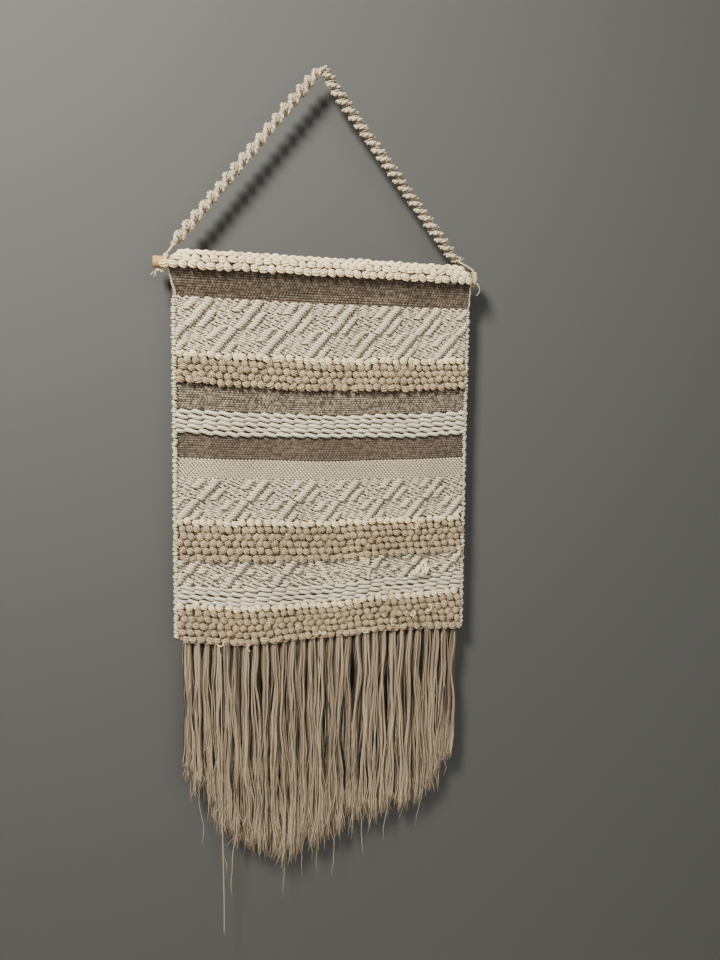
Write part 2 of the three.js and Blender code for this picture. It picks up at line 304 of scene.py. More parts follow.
def meshPiece(name, points, faces, material, along=None, tint=None):
    mesh = bpy.data.meshes.new(name)
    mesh.from_pydata((np.asarray(points) * mm).tolist(), [], faces)
    mesh.polygons.foreach_set("use_smooth", [True] * len(mesh.polygons))
    if along is not None:
        layer = mesh.attributes.new("yarn", "FLOAT_VECTOR", "POINT")
        layer.data.foreach_set("vector", np.asarray(along, np.float32).ravel())
    if tint is not None:
        layer = mesh.attributes.new("tint", "FLOAT", "POINT")
        layer.data.foreach_set("value", np.asarray(tint, np.float32).ravel())
    mesh.materials.append(material)
    piece = bpy.data.objects.new(name, mesh)
    bpy.context.collection.objects.link(piece)
    return piece


def ease(t):
    return t * t * (3 - 2 * t)


def smoothStep(low, high, value):
    return ease(np.clip((value - low) / (high - low), 0, 1))


def unit(vectors):
    return vectors / (np.linalg.norm(vectors, axis=-1, keepdims=True) + 1e-9)


def hump(value, width):
    return np.exp(-(value / width) ** 2)


def arch(value, half):
    return np.sqrt(np.clip(1 - (value / half) ** 2, 0, 1))


# random values as a column, one for each strand
def vary(low, high, count):
    return dice.uniform(low, high, count)[:, None]


# a line that winds round another one, on the directions first and second
def wind(line, first, second, out, angle):
    return line + first * (out * np.cos(angle))[:, None] + second * (out * np.sin(angle))[:, None]


def gridFaces(number):
    corners = [number[:-1, :-1], number[1:, :-1], number[1:, 1:], number[:-1, 1:]]
    return np.stack(corners, -1).reshape(-1, 4).tolist()


def rimOf(number):
    return np.concatenate([number[0, :-1], number[:-1, -1], number[-1, :0:-1], number[:0:-1, 0]])


# how thick a tube is at its two ends, as a share of its radius
endShare = 0.55


# tubes along many lines of the same number of points: paths is (lines, points, 3) in millimetres
def tubeMesh(paths, radius, sides, upright):
    paths = np.asarray(paths, float)
    lines, steps, _ = paths.shape
    radius = np.broadcast_to(np.asarray(radius, float), (lines, steps)).copy()
    radius[:, [0, -1]] *= endShare
    ahead = unit(np.gradient(paths, axis=1))
    upright = np.broadcast_to(np.asarray(upright, float), paths.shape)
    first = unit(upright - (upright * ahead).sum(2, keepdims=True) * ahead)
    second = np.cross(ahead, first)
    turn = np.linspace(0, 2 * math.pi, sides, endpoint=False)
    cosine, sine = np.cos(turn), np.sin(turn)
    ring = first[:, :, None] * cosine[:, None] + second[:, :, None] * sine[:, None]
    points = paths[:, :, None] + ring * radius[:, :, None, None]
    number = np.arange(lines * steps * sides).reshape(lines, steps, sides)
    a, b = number[:, :-1], number[:, 1:]
    quads = np.stack([a, np.roll(a, -1, 2), np.roll(b, -1, 2), b], -1).reshape(-1, 4)
    faces = quads.tolist() + number[:, 0, ::-1].tolist() + number[:, -1].tolist()
    step = np.linalg.norm(np.diff(paths, axis=1, prepend=paths[:, :1]), axis=2).cumsum(1) * mm
    along = np.empty((lines, steps, sides, 3))
    along[..., 0] = step[:, :, None]
    along[..., 1] = cosine
    along[..., 2] = sine
    return points.reshape(-1, 3), faces, along.reshape(-1, 3)


def newYarn():
    return {"points": [], "faces": [], "along": [], "tint": [], "count": 0}


def addYarn(yarn, paths, radius, sides, upright, tint):
    points, faces, along = tubeMesh(paths, radius, sides, upright)
    lines, steps = np.asarray(paths).shape[:2]
    shift = yarn["count"]
    yarn["faces"] += [[corner + shift for corner in face] for face in faces]
    yarn["points"].append(points)
    yarn["along"].append(along)
    tint = np.asarray(tint, float)
    if tint.ndim == 1:
        tint = np.repeat(tint[:, None], steps, 1)
    yarn["tint"].append(np.repeat(tint.ravel(), sides))
    yarn["count"] += len(points)


def yarnPiece(yarn, name, material, shape=None):
    points = np.vstack(yarn["points"])
    if shape is not None:
        points = shape(points)
    along, tint = np.vstack(yarn["along"]), np.concatenate(yarn["tint"])
    return meshPiece(name, points, yarn["faces"], material, along, tint)


# how far the cloth hangs out of true: its rise at five places across, for each drop below the rod
sag = {
    "drops": [0, 22, 40, 113, 154, 187.5, 219, 250, 277, 333.5, 388, 421, 446, 498, 600],
    "rises": [
        (0, 0, 0, 0, 0), (0, -0.6, -1.2, -0.8, 0), (-0.8, -1.8, -2.8, -1.8, -0.8),
        (1.4, -0.7, -2.6, -0.4, 2.1), (3.9, -1.1, -4.1, -1.5, 4.3), (2.4, -1.0, -4.0, -0.4, 4.3),
        (2.9, -2.3, -2.6, -2.0, 2.4),
        (1.2, -1.8, -4.4, -2.2, 0.9), (1.6, -1.0, -3.4, -1.2, 1.2), (3.0, -0.8, -4.1, -1.4, 1.2),
        (2.8, -1.6, -3.6, 1.6, 3.4), (2.1, -5.6, -5.6, 2.0, 7.2), (2.1, -6.9, -5.6, 2.3, 6.9),
        (2.8, -6.3, -1.4, 3.4, 1.5), (2.8, -6.3, -1.4, 3.4, 1.5),
    ],
    "foldDepth": 1.3, "spread": (2.0, 0.8, 4.6),
}


def hang(points):
    points = np.array(points, float)
    across = np.clip((points[..., 0] - clothLeft) / clothWidth, 0, 1)
    drop = rodZ - points[..., 2]
    rises = np.array(sag["rises"], float)
    places = np.stack([np.interp(drop, sag["drops"], rises[:, k]) for k in range(5)], -1)
    column = np.clip(across * 4, 0, 3.9999)
    cell = column.astype(int)
    part = ease(column - cell)
    near = np.take_along_axis(places, cell[..., None], -1)[..., 0]
    far = np.take_along_axis(places, cell[..., None] + 1, -1)[..., 0]
    share = np.clip(drop / (rodZ - clothFoot), 0, 1)
    begin = smoothStep(6, 38, drop)
    top, left, right = sag["spread"]
    slide = top + (left - top) * share * (1 - across) + (right - top) * share * across
    fold = np.sin(across * 27 + share * 6) * 0.5 + np.sin(across * 13 - share * 4) * 0.5
    points[..., 2] += near * (1 - part) + far * part
    points[..., 0] += begin * slide
    points[..., 1] -= begin * sag["foldDepth"] * (1 + fold) * (1 - 0.5 * share)
    return points


def settle(piece, body, slot, *nodes):
    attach(piece, body)
    if nodes:
        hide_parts(*nodes)
    return piece


# rod

rodFinish = {"edge": 0.0008, "edgeSteps": 3, "sharpest": 40}


def finishRod():
    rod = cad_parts["dowel"]
    rod.data.materials.clear()
    rod.data.materials.append(paleWood)
    rodEdge = rod.modifiers.new("softEdge", "BEVEL")
    rodEdge.width = rodFinish["edge"]
    rodEdge.segments = rodFinish["edgeSteps"]
    rodEdge.limit_method = "ANGLE"
    rodEdge.angle_limit = math.radians(rodFinish["sharpest"])


finishRod()
print("rod finished")

# hanger cord: two thick ridges wind round a core, with the knots' bars between them

hanger = {
    "route": [
        (-191.5, -232.8), (-162, -195.8), (-137, -164.5), (-112, -133.1), (-87, -101.8), (-62, -70.5),
        (-37, -39.2), (-19, -16.9), (-9.5, -5.8), (-5, -1.7), (0, 0), (5, -2.8), (10, -10.5), (18, -22.2),
        (37, -46.2), (61, -75.1), (85, -104), (109, -132.9), (133, -161.8), (158, -191.8), (190.5, -231),
    ],
    "ridgePitch": (33.0, 24.0), "ridgeOut": 5.3, "ridgeCord": 1.75, "ridgeLay": 9.5, "ridgeOffset": 1.3,
    "barPitch": 8.6, "barOut": 3.5, "barCord": 1.2, "coreCord": 1.9, "coreOut": 1.3,
    "width": 15.5, "pinch": 0.2,
}


# points evenly spaced along a smooth line through the given ones
def evenLine(points, spacing):
    points = np.asarray(points, float)
    count = len(points)
    padded = np.vstack([2 * points[0] - points[1], points, 2 * points[-1] - points[-2]])
    fine = []
    for i in range(count - 1):
        before, here, there, after = padded[i:i + 4]
        for t in np.linspace(0, 1, 24, endpoint=False):
            fine.append(0.5 * (2 * here + (there - before) * t
                               + (2 * before - 5 * here + 4 * there - after) * t ** 2
                               + (3 * here - before - 3 * there + after) * t ** 3))
    fine = np.array(fine + [points[-1]])
    reach = np.concatenate([[0], np.linalg.norm(np.diff(fine, axis=0), axis=1).cumsum()])
    steps = max(2, int(round(reach[-1] / spacing)) + 1)
    wanted = np.linspace(0, reach[-1], steps)
    return np.stack([np.interp(wanted, reach, fine[:, k]) for k in range(3)], 1), reach[-1]


def resample(path, count):
    place = np.linspace(0, len(path) - 1, count)
    return np.stack([np.interp(place, np.arange(len(path)), path[:, k]) for k in range(3)], 1)


def makeHanger():
    route = [(x, 0.0, z) for x, z in hanger["route"]]
    line, length = evenLine(route, 0.6)
    reach = np.linspace(0, length, len(line))
    ahead = unit(np.gradient(line, axis=0))
    front = np.tile(-alongY, (len(line), 1))
    side = np.cross(front, ahead)
    tight = 1 - hanger["pinch"] * hump(reach - length * 0.497, 8)
    tight = tight * (0.4 + 0.6 * smoothStep(0, 9, np.minimum(reach, length - reach)))
    uneven = 1 + 0.06 * np.sin(reach / 17) + 0.05 * np.sin(reach / 6.1 + 1)
    leftPitch, rightPitch = hanger["ridgePitch"]
    pitch = leftPitch + (rightPitch - leftPitch) * smoothStep(0.4 * length, 0.6 * length, reach)
    spiral = -2 * math.pi * np.cumsum(np.gradient(reach) / pitch)
    yarn = newYarn()
    for ridge in range(2):
        angle = spiral + ridge * math.pi + 0.25 * np.sin(reach / 31)
        knots = 1 + 0.13 * np.cos(4 * math.pi * reach / hanger["barPitch"] + ridge)
        out = hanger["ridgeOut"] * tight * uneven * knots
        middle = wind(line, side, front, out, angle)
        radial = wind(0, side, front, 1, angle)
        flat = np.cross(unit(np.gradient(middle, axis=0)), radial)
        for strand in range(2):
            turn = -2 * math.pi * reach / hanger["ridgeLay"] + strand * math.pi
            path = wind(middle, radial, flat, hanger["ridgeOffset"] * tight, turn)
            thick = hanger["ridgeCord"] * tight[None]
            addYarn(yarn, path[None], thick, 8, radial[None], [0.1 + 0.5 * strand])
    for bar in range(2):
        angle = -2 * math.pi * reach / hanger["barPitch"] + bar * math.pi
        out = hanger["barOut"] * tight * (1 + 0.08 * np.sin(reach * 0.9 + bar))
        path = wind(line, side, front, out, angle)
        addYarn(yarn, path[None], hanger["barCord"], 6, ahead[None], [0.5 + 0.3 * bar])
    for core in range(3):
        angle = 2 * math.pi * (core / 3 + reach / 90)
        path = wind(line, side, front, hanger["coreOut"], angle)
        # the core, seen only between the knots, gets the darkest tint: painted shade
        addYarn(yarn, path[None, ::6], hanger["coreCord"], 8, front[None, ::6], [0.9])
    piece = yarnPiece(yarn, "hanger_knotted_cord", creamCotton)
    settle(piece, "hanger", "cream_cotton", "hanger_cord")
    path, _ = evenLine(route, 10)


makeHanger()
print("hanger cord knotted")

# ties: the hanger's cords wound round the rod outside the cloth, and their loose ends

ties = {
    "turns": 2.15, "ring": 7, "cord": 1.45, "strand": 1.3, "clear": 0.5, "fan": 4, "fanSteps": 16,
    "tuft": 26, "hair": 0.42, "ends": 9,
}


def makeTie(name, node, knotsEnd, towardsHook):
    low, high = boxOf(node)
    ringLow = low[0] if towardsHook > 0 else high[0] - ties["ring"]
    ringHigh = ringLow + ties["ring"]
    winding = rodRadius + ties["clear"] + ties["cord"]
    yarn = newYarn()
    turn = np.linspace(0, 2 * math.pi * ties["turns"], 84)
    share = turn / turn[-1]
    across = ringLow + ties["cord"] + (ringHigh - ringLow - 2 * ties["cord"]) * share
    lift = winding + 0.35 * np.sin(turn * 1.7)
    coil = np.stack([across + 0.3 * np.sin(turn), -np.sin(turn) * lift, rodZ + np.cos(turn) * lift], 1)
    addYarn(yarn, coil[None], ties["cord"], 8, alongX, [0.35])
    middle = (ringLow + ringHigh) / 2
    endX, endZ = knotsEnd
    for number in range(ties["fan"]):
        spread = (number - (ties["fan"] - 1) / 2) * 2.3
        start = (middle + spread * 0.5, spread - 1, rodZ + winding - 1.2)
        odd = number % 2
        over = (middle + towardsHook * (3.2 + 0.8 * odd), spread * 1.2, rodZ + winding + 3.4 + odd)
        finish = (endX + towardsHook * 2.5, spread * 0.7, endZ + 2.4 + 0.8 * odd)
        path, _ = evenLine([start, over, finish], 1.5)
        path = resample(path, ties["fanSteps"])
        addYarn(yarn, path[None], ties["strand"], 8, alongY, [0.1 + 0.2 * number])
    settle(yarnPiece(yarn, name, creamCotton), "hanger", "cream_cotton", node)
    return middle, winding


# a cord end under the rod's left end that opens into a frayed tuft
def makeLeftTail(middle, winding):
    below = rodZ - winding - 0.4
    path, _ = evenLine([
        (middle + 1, -3.5, below + 1.2), (middle - 2.5, -4.8, below - 1.4), (middle - 6, -5.6, below - 2.0),
        (middle - 9.5, -6.2, below - 1.2), (middle - 12.5, -6.8, below - 2.6)], 1.0)
    yarn = newYarn()
    for strand in range(2):
        twist = np.linspace(0, 9, len(path)) + strand * math.pi
        swirl = np.stack([0 * twist, 0.9 * np.cos(twist), 0.9 * np.sin(twist)], 1)
        addYarn(yarn, (path + swirl)[None], 1.0, 7, alongY, [0.1 + 0.2 * strand])
    count = ties["tuft"]
    t = np.linspace(0, 1, 8)[None, :]
    lean = vary(-1.5, 0.1, count)
    reach = vary(4, 8.5, count)
    bend = vary(-2.2, 2.2, count)
    hairs = np.stack([
        path[-1, 0] + reach * lean * 0.7 * t + bend * 0.4 * t * t,
        path[-1, 1] + vary(-2.4, 1.0, count) * t,
        path[-1, 2] - reach * (0.15 + 0.6 * np.abs(np.cos(lean * 2.2))) * t + bend * t * t], -1)
    addYarn(yarn, hairs, ties["hair"], 5, alongY, dice.uniform(0, 0.5, count))
    settle(yarnPiece(yarn, "frayed_tail_left", creamCotton), "hanger", "cream_cotton")


# the knots' last ends above the right tie, and one curled thread below it
def makeRightTail(middle):
    yarn = newYarn()
    count = ties["ends"]
    t = np.linspace(0, 1, 7)[None, :]
    endX, endZ = hanger["route"][-1]
    rise = vary(5, 9.5, count)
    lean = vary(-0.1, 1.1, count)
    ends = np.stack([
        endX + 3 + rise * lean * t,
        -3 + vary(-2.5, 2, count) * t,
        endZ - 1 + rise * t - 2.5 * lean * t * t], -1)
    addYarn(yarn, ends, 0.55, 6, alongY, dice.uniform(0, 0.5, count))
    thread, _ = evenLine([
        (middle + 1, -8, rodZ - 5), (middle + 4, -8.5, rodZ - 8), (middle + 7.5, -8, rodZ - 14),
        (middle + 6.5, -7, rodZ - 19), (middle + 3, -6.5, rodZ - 22.5)], 1.2)
    addYarn(yarn, thread[None], 0.6, 6, alongY, [0.0])
    addYarn(yarn, (thread[:9] + [1.0, 1.0, 1.5])[None], 0.5, 6, alongY, [0.2])
    settle(yarnPiece(yarn, "thread_ends_right", creamCotton), "hanger", "cream_cotton")


leftTieX, tieWinding = makeTie("tie_left_cords", "tie_left", hanger["route"][0], 1)
rightTieX, _ = makeTie("tie_right_cords", "tie_right", hanger["route"][-1], -1)
makeLeftTail(leftTieX, tieWinding)
makeRightTail(rightTieX)
print("ties wound")

# ground cloth: the sheet turned over the rod and sewn down behind

ground = {
    "thickness": 1.9, "inside": 0.6, "hem": 26, "hemRows": 8, "slopeFoot": 38, "columns": 110, "rowStep": 4.0,
    "bandTones": [(0, 0.3), (40, 0.95), (113, 0.4), (154, 0.75), (187.5, 0.95), (219, 0.7), (250, 0.95),
                  (333.5, 0.4), (388, 0.75), (421, 0.4), (446, 0.7), (600, 0.75)],
}


def clothLine():
    inside = rodRadius + ground["inside"] + ground["thickness"] / 2
    back = wallY - ground["thickness"] / 2 - 0.3
    front = wallY - ground["thickness"] / 2 - 0.65
    angles = np.linspace(0, math.pi * 1.12, 26)
    over = [(inside * math.cos(a), rodZ + inside * math.sin(a)) for a in angles]
    hemLine = [(back, z) for z in np.linspace(rodZ - ground["hem"], rodZ - 1, ground["hemRows"])]
    lastY, lastZ = over[-1]
    foot, slopeFoot = clothFoot + 1, rodZ - ground["slopeFoot"]
    slope = [(lastY + (front - lastY) * t, lastZ + (slopeFoot - lastZ) * t) for t in np.linspace(0.1, 1, 10)]
    count = int((slopeFoot - foot) / ground["rowStep"])
    down = [(front, z) for z in np.linspace(slopeFoot, foot, count + 1)[1:]]
    return np.array(hemLine + over + slope + down)


def makeGround():
    line = clothLine()
    ahead = unit(np.gradient(line, axis=0))
    normal = np.stack([ahead[:, 1], -ahead[:, 0]], 1)
    columns = np.linspace(clothLeft + 1.5, clothRight - 1.5, ground["columns"])
    rows = len(line)
    half = ground["thickness"] / 2
    layers = []
    for side in (line + normal * half, line - normal * half):
        sheet = np.empty((rows, len(columns), 3))
        sheet[..., 0] = columns
        sheet[..., 1] = side[:, None, 0]
        sheet[..., 2] = side[:, None, 1]
        layers.append(sheet)
    begun = np.arange(rows) >= ground["hemRows"]
    hangs = (smoothStep(12, 45, rodZ - line[:, 1]) * begun)[:, None, None]
    points = np.concatenate([(layer * (1 - hangs) + hang(layer) * hangs).reshape(-1, 3) for layer in layers])
    number = np.arange(rows * len(columns)).reshape(rows, -1)
    far = number + number.size
    edge = rimOf(number)
    after = np.roll(edge, -1)
    sides = np.stack([edge, edge + number.size, after + number.size, after], 1).tolist()
    faces = gridFaces(number.T) + gridFaces(far) + sides
    # tones band by band: a hint of each band's colour where the sheet shows at its edges and back, and darker
    # behind the relief rows, where it shows only through their gaps: painted shade; the back layer takes less
    # than half
    limits, tones = zip(*ground["bandTones"])
    drops = np.where(begun, rodZ - line[:, 1], 0)
    bands = np.minimum(np.searchsorted(limits, drops, "right"), len(limits) - 1)
    outside = np.repeat(np.array(tones)[bands], len(columns))
    tint = np.concatenate([outside, 0.45 * outside])
    piece = meshPiece("ground_sheet", points, faces, ecruCloth, None, tint)
    settle(piece, "cloth", "ecru_cloth", "ground_cloth")


makeGround()
print("ground cloth hung")

# flat taupe bands: coarse melange wefts beaten over the warps

taupe = {
    "pitch": 3.0, "warp": 3.9, "thick": 0.9, "rise": 1.6, "columnStep": 0.85, "rowStep": 0.68, "dashes": 140,
    "edgeCord": 1.4,
}


def taupeBeads(x, drop):
    row = np.floor(drop / taupe["pitch"])
    rounded = np.abs(np.sin(math.pi * drop / taupe["pitch"]))
    beads = np.abs(np.sin(math.pi * (x / taupe["warp"] + 0.5 * row + 0.25 * np.sin(x * 0.05 + row))))
    return np.sqrt(rounded * beads + 0.01)


def taupeRise(x, drop):
    row = np.floor(drop / taupe["pitch"])
    uneven = 0.3 * np.sin(x * 0.11 + row * 2.1) * np.sin(x * 0.037 + row)
    return taupe["thick"] + taupe["rise"] * taupeBeads(x, drop) + uneven


def gridSlab(name, node, material, sideReach, slope=None, lean=None, shade=None):
    low, high = boxOf(node)
    left, right = low[0] - sideReach, high[0] + sideReach
    across = np.linspace(left, right, int((right - left) / taupe["columnStep"]) + 1)
    down = np.linspace(high[2], low[2], int((high[2] - low[2]) / taupe["rowStep"]) + 1)
    x, z = np.meshgrid(across, down)
    if lean is not None:
        x = x + lean(x, z)
    back = np.full(x.shape, high[1]) if slope is None else slope(z)
    face = hang(np.stack([x, back - taupeRise(x - left, high[2] - z), z], -1))
    behind = hang(np.stack([x, back, z], -1))
    rows, columns = x.shape
    number = np.arange(rows * columns).reshape(rows, columns)
    edge = rimOf(number)
    start, size = number.size, len(edge)
    under = np.arange(start, start + size)
    faces = gridFaces(number) + np.stack([edge, np.roll(edge, -1), np.roll(under, -1), under], 1).tolist()
    last = columns - 1
    foot = start + 2 * last + rows - 1
    faces += [[start + i, start + i + 1, foot - i - 1, foot - i] for i in range(last)]
    faces += [list(range(start + last, start + last + rows)), [*range(foot, start + size), start]]
    weft = np.floor((high[2] - z) / taupe["pitch"]).astype(int)
    rowTone = dice.uniform(0, 1, weft.max() + 1)
    dashes = dice.uniform(0, 1, (weft.max() + 1, taupe["dashes"]))
    lastDash = taupe["dashes"] - 1
    dash = np.clip(((x - left) / (right - left) * lastDash + 0.5 * (weft % 2)).astype(int), 0, lastDash)
    # the row and dash tones are the melange; the last term darkens the hollows between the beads: painted
    # shade
    tone = 0.2 * rowTone[weft] + 0.85 * dashes[weft, dash] + 0.9 * (0.6 - taupeBeads(x - left, high[2] - z))
    if shade is not None:
        tone = tone + shade(x, z)
    tint = np.concatenate([np.clip(tone, 0, 1.4).ravel(), np.full(size, 0.5)])
    points = np.vstack([face.reshape(-1, 3), behind.reshape(-1, 3)[edge]])
    return meshPiece(name, points, faces, material, None, tint)


def makeTaupeBands():
    low, high = boxOf("taupe_band_1")

    def shareDown(z):
        return np.clip((high[2] - z) / (high[2] - low[2]), 0, 1)

    def slope(z):
        return low[1] + 1.6 + (high[1] - low[1] - 1.6) * shareDown(z) ** 0.9

    # the band under the rod leans a little to the left at its left edge
    def lean(x, z):
        share = shareDown(z)
        outwards = 4.5 * (1 - share) * np.clip((clothLeft + 90 - x) / 90, 0, 1)
        return 4.0 * share * (x < clothLeft + 9) - outwards

    # and its upper rows are darker, painted shade from the loops over them, while its last rows are a paler
    # weft that widens to the right
    def shade(x, z):
        begins = 0.86 - 0.24 * smoothStep(0.1, 0.8, (x - clothLeft) / clothWidth)
        return 0.32 * (1 - smoothStep(begins - 0.06, begins + 0.06, shareDown(z))) - 0.08

    for number, material in ((1, taupeWarm), (2, taupeWeft), (3, taupeDark)):
        node = f"taupe_band_{number}"
        piece = gridSlab(f"taupe_weft_{number}", node, material, 5.0 if number == 1 else 4.0,
                         *((slope, lean, shade) if number == 1 else ()))
        settle(piece, "cloth", "taupe_weave", node)
    yarn = newYarn()
    for edge in (clothLeft + 1.6, clothRight - 1.6):
        z = np.linspace(high[2] - 1, low[2] - 4, 40)
        path = np.stack([edge + 0.4 * np.sin(z * 0.5) + lean(edge, z), slope(z) - 0.6, z], 1)
        addYarn(yarn, path[None], taupe["edgeCord"] + 0.3 * np.sin(z[None] * 1.9), 8, alongY, [0.9])
    settle(yarnPiece(yarn, "sleeve_edge_cords", offWhiteYarn, hang), "cloth", "ecru_cloth")


makeTaupeBands()
print("taupe bands woven")

# rows of weft laid one under the other, each a tube that rises and dips


def weftRows(name, node, material, rows, spacing, sides, draft, sideReach=3.5):
    low, high = boxOf(node)
    across = np.arange(low[0] - sideReach, high[0] + sideReach, spacing)
    pitch = (high[2] - low[2]) / rows
    paths = np.empty((rows, len(across), 3))
    radii = np.empty((rows, len(across)))
    tone = np.empty((rows, len(across)))
    for row in range(rows):
        out, lift, radius = draft(across - low[0], row, rows)
        # a random tone per row, darker where the row sits further back: painted shade in the recesses
        tone[row] = dice.uniform(0, 0.5) + 0.22 * np.clip(out.mean() - out, -2, 3)
        paths[row] = np.stack([across, high[1] - out, high[2] - (row + 0.5) * pitch + lift], 1)
        radii[row] = radius * pitch
    yarn = newYarn()
    addYarn(yarn, paths, radii, sides, alongZ, np.clip(tone, 0, 1.5))
    return settle(yarnPiece(yarn, name, material, hang), "cloth", "white_roving", node)


twill = {"rows": 10, "float": 4.8, "step": 0.56}


def twillDraft(x, row, rows):
    turn = 2 * math.pi * (x / twill["float"] + row * twill["step"])
    return 1.4 + 1.6 * np.cos(turn), -0.85 * np.sin(turn), 0.39 + 0.13 * np.cos(turn)


relief = {
    "period": (65.5, 4.2), "rowShift": 2.6, "floatWidth": 9.6, "step": 4.0, "ground": 2.1, "crest": 6.9,
    "side": 5.5, "wave": 12.4, "waveOut": 0.9, "waveLift": 1.25, "dip": 1.8, "wide": 63.0,
    "bands": [(1, 23, 40.0), (2, 18, 47.0), (3, 10, 20.0)],
}


def reliefDraft(begins, zigzag):
    wander = dice.uniform(-1, 1, 80)

    def draft(x, row, rows):
        share = row / rows
        drift = x + row * relief["rowShift"] - begins + relief["step"] * (share > 0.48) + 0.6 * wander[row]
        if zigzag:
            turned = smoothStep(0.42, 0.44, x / clothWidth) * (1 - smoothStep(0.62, 0.64, x / clothWidth))
            drift = drift - 2 * (row - rows / 2) * relief["rowShift"] * turned
        widest, shrink = relief["period"]
        place = drift / (widest - shrink * drift / clothWidth) + 0.5
        lane = np.floor(place)
        u = (place - lane - 0.5) * relief["wide"] + 1.2 * np.sin(lane * 2.7)
        half = relief["floatWidth"] / 2
        main = arch(u, half)
        holes = 0.5 * hump(u - half - 1.1, 0.8) + 0.7 * hump(u + half + 1.3, 1.0)
        holes = holes + 0.5 * hump(u - half - 5.4, 0.9)
        thin = hump(np.abs(u) - half - 3.4, 1.1) * (0.5 + 0.5 * np.sign(u))
        leftOn = share < 0.2 or 0.44 < share < 0.7
        rightOn = 0.2 < share < 0.48 or share > 0.74
        bump = leftOn * arch(u + 18.5, 5.2) + rightOn * arch(u - 16.5, 4.6)
        holes = holes + 0.7 * leftOn * hump(u + 25, 1.0) + 0.7 * rightOn * hump(u - 22.4, 1.0)
        holes = np.clip(holes, 0, 1) * (main == 0)
        plain = np.clip(1 - main - bump - thin - holes, 0, 1)
        turn = 2 * math.pi * (x / relief["wave"] + row * 0.16) + 1.1 * wander[row + 30]
        turn = turn + 0.9 * np.sin(x * 0.083 + row * 0.9)
        base = relief["ground"]
        out = base + relief["waveOut"] * plain * np.sin(turn) + (relief["crest"] - base) * main
        out = out + (relief["side"] - base) * bump + 0.7 * thin - relief["dip"] * holes
        lift = relief["waveLift"] * plain * np.cos(turn) - 0.8 * (main > 0) * u / half
        radius = 0.44 + 0.15 * main + 0.13 * bump + 0.07 * plain * np.sin(turn) - 0.12 * holes
        return out + 0.25 * np.sin(x * 0.21 + row * 1.7), lift, radius
    return draft


def makeWeftBands():
    weftRows("twill_wefts", "twill_band", offWhiteYarn, twill["rows"], 0.66, 6, twillDraft)
    for number, rows, start in relief["bands"]:
        weftRows(f"relief_wefts_{number}", f"relief_band_{number}", offWhiteYarn, rows, 1.1, 7,
                 reliefDraft(start, number == 3))


makeWeftBands()
print("relief and twill woven")

# roving: thick soft rows tied down at even steps

roving = {
    "tieStep": 17.4, "out": 3.0, "belly": 1.5, "slant": 2.3, "thick": 0.45, "dip": 1.3,
    "rows": [(1, 5), (2, 4)],
}


def rovingDraft(number):
    def draft(x, row, rows):
        shifted = x + 2.2 * math.sin(number * 1.9) + (number > 4) * 7
        place = shifted / roving["tieStep"] + 0.12 * np.sin(shifted * 0.045 + number * 0.7) + 0.13 * number
        share = place % 1.0
        segment = np.floor(place)
        tied = hump(np.minimum(share, 1 - share), 0.1)
        fall = smoothStep(0.1, 0.92, share)
        saw = np.where(share < 0.1, share / 0.1 - 0.5, 0.5 - fall)
        vary = 1 + 0.25 * np.sin(segment * 2.3 + number * 1.1)
        out = roving["out"] + roving["belly"] * np.sin(math.pi * share) - roving["dip"] * tied
        lift = roving["slant"] * saw * vary + 0.4 * np.sin(x * 0.05 + number * 2)
        radius = roving["thick"] * (1.0 - 0.12 * tied + 0.05 * np.sin(x * 0.31 + number))
        return out, lift, radius
    return draft


def makeRoving():
    count = 0
    for number, rows in roving["rows"]:
        for row in range(1, rows + 1):
            weftRows(f"roving_cord_{number}_{row}", f"roving_{number}_row_{row}", whiteRoving, 1, 1.1, 10,
                     rovingDraft(count), 4.0)
            count += 1


makeRoving()
print("roving laid")

# loops: each is a small hank of soft strands that arches out of the cloth

loops = {
    "pitch": 10.2, "strands": 3, "strandRadius": 1.45, "width": 4.7, "height": 2.8, "steps": 11, "sides": 6,
    "depth": 6.4, "droop": 1.0, "raise": 2.4, "lean": (0.85, 0.28), "topLean": (0.25, 0.45),
    "bands": [(1, 5), (2, 6), (3, 6)],
    "topRows": [(4, -13.0, 0), (3, 21.0, 12), (2, 55.0, 16), (1, 89.0, 20)],
}


def addLoops(yarn, centres, outward, downward, size, droop, depth, tilt):
    count = len(centres)
    t = np.linspace(0, 1, loops["steps"])[None, :]
    bulge = np.sin(math.pi * t) ** 0.65
    width = loops["width"] * size * vary(0.85, 1.15, count)
    deep = depth * vary(0.85, 1.12, count)
    fall = droop * vary(0.5, 1.4, count)
    lean = dice.normal(*tilt, count)[:, None]
    tone = dice.uniform(0, 1, count)
    swirl = vary(-0.5, 0.9, count)
    for strand in range(loops["strands"]):
        v = -1 + 2 * strand / (loops["strands"] - 1)
        spin = swirl * (t - 0.5) * 2
        over = v * np.cos(spin) * loops["height"] * size * (0.45 + 0.55 * np.sin(math.pi * t))
        side = -np.cos(math.pi * t) * width * (1 - 0.12 * v * v)
        out = bulge * deep * (1 - 0.2 * v * v) + v * np.sin(spin) * 1.6
        plane = over + fall * bulge ** 2
        line = (centres[:, None, :]
                + (side * np.cos(lean) - plane * np.sin(lean))[..., None] * alongX
                + (plane * np.cos(lean) + side * np.sin(lean))[..., None] * downward[:, None, :]
                + out[..., None] * outward[:, None, :])
        radius = loops["strandRadius"] * size * vary(0.88, 1.12, count)
        # a random tone per loop, darkened towards both ends where the loop dives into the cloth: painted
        # shade
        shade = (tone * 0.5 + 0.35 * dice.uniform(0, 1, count))[:, None] + 0.9 * (1 - bulge)
        addYarn(yarn, line, radius, loops["sides"], np.array([0.13, 0.2, 0.97]), shade)


